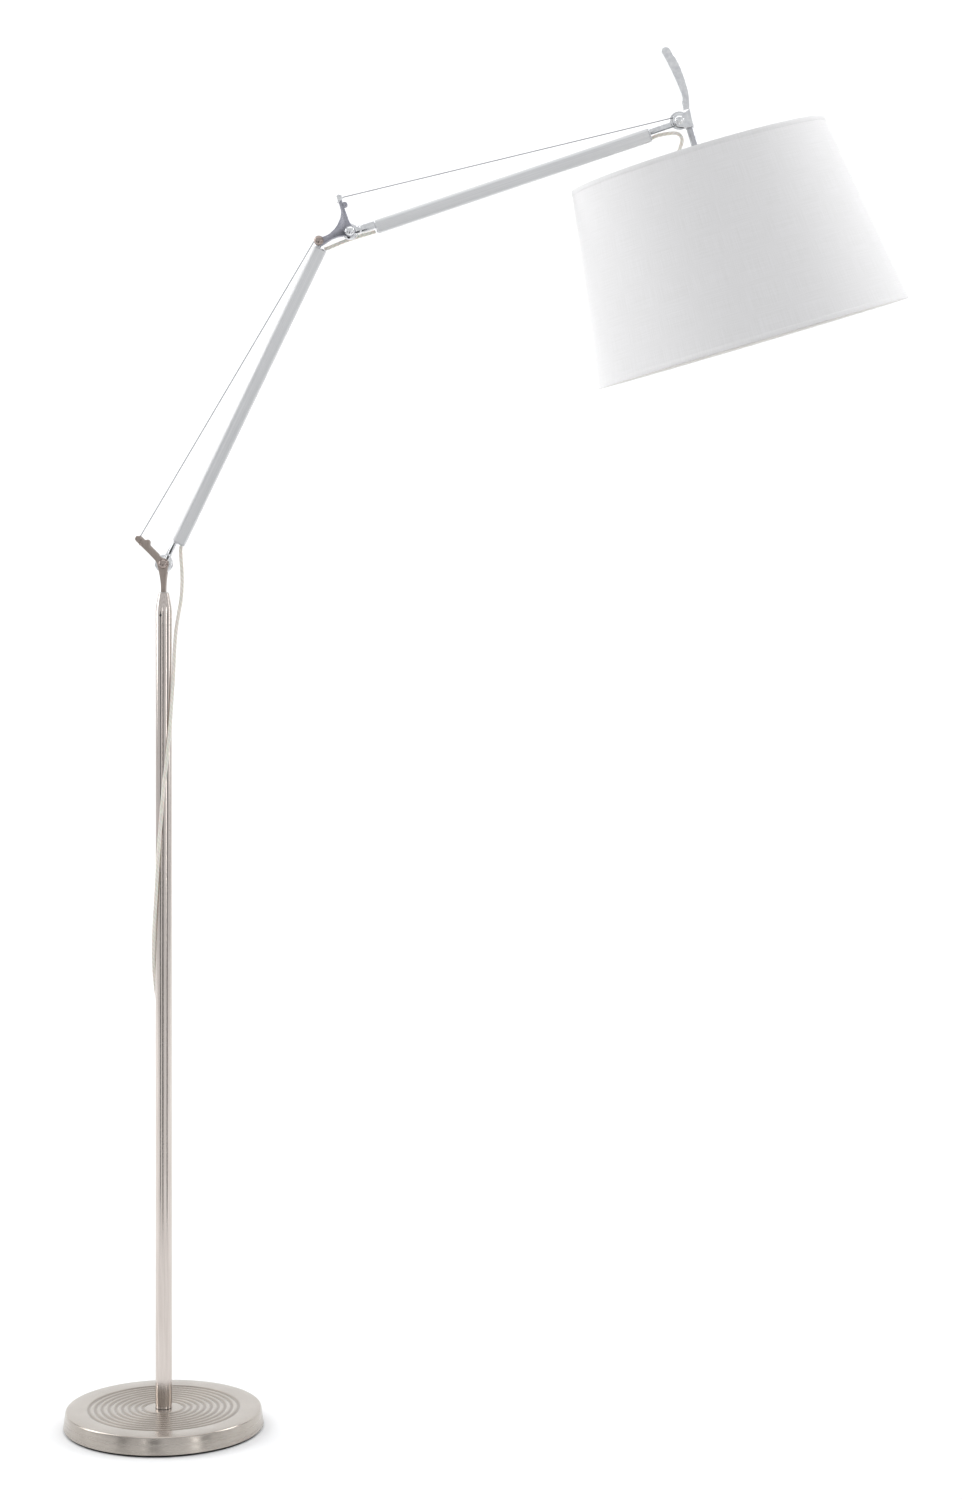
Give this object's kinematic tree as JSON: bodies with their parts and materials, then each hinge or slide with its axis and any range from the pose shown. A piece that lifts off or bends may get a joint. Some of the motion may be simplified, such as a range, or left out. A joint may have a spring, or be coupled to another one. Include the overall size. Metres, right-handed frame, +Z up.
{
  "type": "floor lamp",
  "caption": "Floor lamp with a round weighted base, a pole, two spring balanced arms on pivots and a tilting head with a tapered fabric shade.",
  "frame": {"origin": "centre of the base pad's underside, on the pole's axis", "axes": "+Z up along the pole, +X the way the arms and the head reach at rest, +Y to the back, so the arms lie in the XZ plane"},
  "size_m": [1.2651, 0.482, 2.0702],
  "materials": {
    "satin_nickel": "satin brushed nickel plate, fine lengthwise grain",
    "polished_chrome": "polished chrome plate",
    "dark_chrome": "dark polished nickel chrome",
    "anodised_aluminium": "satin anodised extrusion",
    "cast_iron": "raw sand casting",
    "zinc_steel": "bright zinc plate",
    "steel_wire": "drawn steel wire",
    "black_rubber": "matt black pad",
    "black_plastic": "woven nylon strap, black",
    "white_plastic": "moulded, white, satin",
    "clear_cord": "milky clear PVC twin flex",
    "shade_fabric": "off-white plain weave cotton laminated to a stiff backing",
    "white_wire": "white powder coated wire",
    "opal_glass": "opal glass",
    "brass": "turned and nickel flashed brass"
  },
  "bodies": {
    "stand": {"base_pad": "black_rubber", "base_cover": "satin_nickel", "base_weight": "cast_iron", "base_washer": "zinc_steel", "base_nut": "zinc_steel", "base_rod": "zinc_steel", "pole_foot_bush": "zinc_steel", "pole_tube": "satin_nickel", "pole_head": "satin_nickel", "pole_head_grub_screw": "zinc_steel"},
    "fork": {"swivel_washer": "white_plastic", "fork": "satin_nickel", "lower_pivot_bolt": "polished_chrome", "lower_pivot_cap_nut": "polished_chrome", "lower_cable_eye": "zinc_steel", "lower_rivet": "polished_chrome", "power_cord": "clear_cord", "cord_tail": "clear_cord", "cord_hank": "clear_cord", "cord_tie": "black_plastic", "plug": "white_plastic", "plug_pin_left": "brass", "plug_pin_right": "brass"},
    "lower_arm": {"lower_arm_profile": "anodised_aluminium", "lower_arm_foot_knuckle": "polished_chrome", "lower_arm_top_knuckle": "polished_chrome", "lower_cable": "steel_wire", "lower_spring": "steel_wire", "lower_arm_lead": "clear_cord"},
    "lower_pulley": {"lower_pulley": "white_plastic"},
    "elbow": {"elbow_bracket": "dark_chrome", "elbow_lower_pivot_bolt": "polished_chrome", "elbow_lower_pivot_cap_nut": "polished_chrome", "elbow_upper_pivot_bolt": "polished_chrome", "elbow_upper_pivot_cap_nut": "polished_chrome", "upper_cable_eye": "zinc_steel", "upper_rivet": "polished_chrome", "elbow_lead": "clear_cord"},
    "upper_arm": {"upper_arm_profile": "anodised_aluminium", "upper_arm_foot_knuckle": "polished_chrome", "upper_arm_top_knuckle": "polished_chrome", "upper_cable": "steel_wire", "upper_spring": "steel_wire", "upper_arm_lead": "clear_cord"},
    "upper_pulley": {"upper_pulley": "white_plastic"},
    "head": {"head_bracket": "polished_chrome", "head_pivot_bolt": "polished_chrome", "head_pivot_cap_nut": "polished_chrome", "tilt_handle": "polished_chrome", "head_stem": "polished_chrome", "lampholder": "white_plastic", "shade_retaining_ring": "white_plastic", "bulb_cap": "brass", "bulb_glass": "opal_glass", "shade_fabric": "shade_fabric", "shade_spider": "white_wire", "shade_bottom_ring": "white_wire", "head_lead": "clear_cord"},
    "switch": {"switch_knob": "brass"}
  },
  "joints": [
    {"name": "arm_swivel", "type": "hinge", "parent": "stand", "child": "fork", "pos_m": [0, 0, 1.251], "axis": [0, 0, 1], "range_deg": [-170, 170]},
    {"name": "lower_arm_tilt", "type": "hinge", "parent": "fork", "child": "lower_arm", "pos_m": [0, 0, 1.295], "axis": [0, 1, 0], "range_deg": [-35, 50], "deforming": ["lower_cable", "power_cord"]},
    {"name": "lower_pulley_turn", "type": "hinge", "parent": "lower_arm", "child": "lower_pulley", "pos_m": [0.23305, 0, 1.77924], "axis": [0, 1, 0], "continuous": true},
    {"name": "elbow_lower", "type": "hinge", "parent": "lower_arm", "child": "elbow", "pos_m": [0.23305, 0, 1.77924], "axis": [0, 1, 0], "range_deg": [-45, 30], "deforming": ["elbow_lead"]},
    {"name": "elbow_upper", "type": "hinge", "parent": "elbow", "child": "upper_arm", "pos_m": [0.27957, 0, 1.79364], "axis": [0, 1, 0], "range_deg": [-45, 30], "deforming": ["elbow_lead", "upper_cable"]},
    {"name": "upper_pulley_turn", "type": "hinge", "parent": "upper_arm", "child": "upper_pulley", "pos_m": [0.77336, 0, 1.95982], "axis": [0, 1, 0], "continuous": true},
    {"name": "head_tilt", "type": "hinge", "parent": "upper_arm", "child": "head", "pos_m": [0.77336, 0, 1.95982], "axis": [0, 1, 0], "range_deg": [-75, 7], "deforming": ["head_lead"]},
    {"name": "switch_turn", "type": "hinge", "parent": "head", "child": "switch", "pos_m": [0.80782, -0.0203, 1.88521], "axis": [0, -1, 0], "range_deg": [0, 90]}
  ],
  "couplings": [
    {"joint": "lower_pulley_turn", "follows": "lower_arm_tilt", "ratio": -8},
    {"joint": "upper_pulley_turn", "follows": "elbow_upper", "ratio": -8.5}
  ]
}
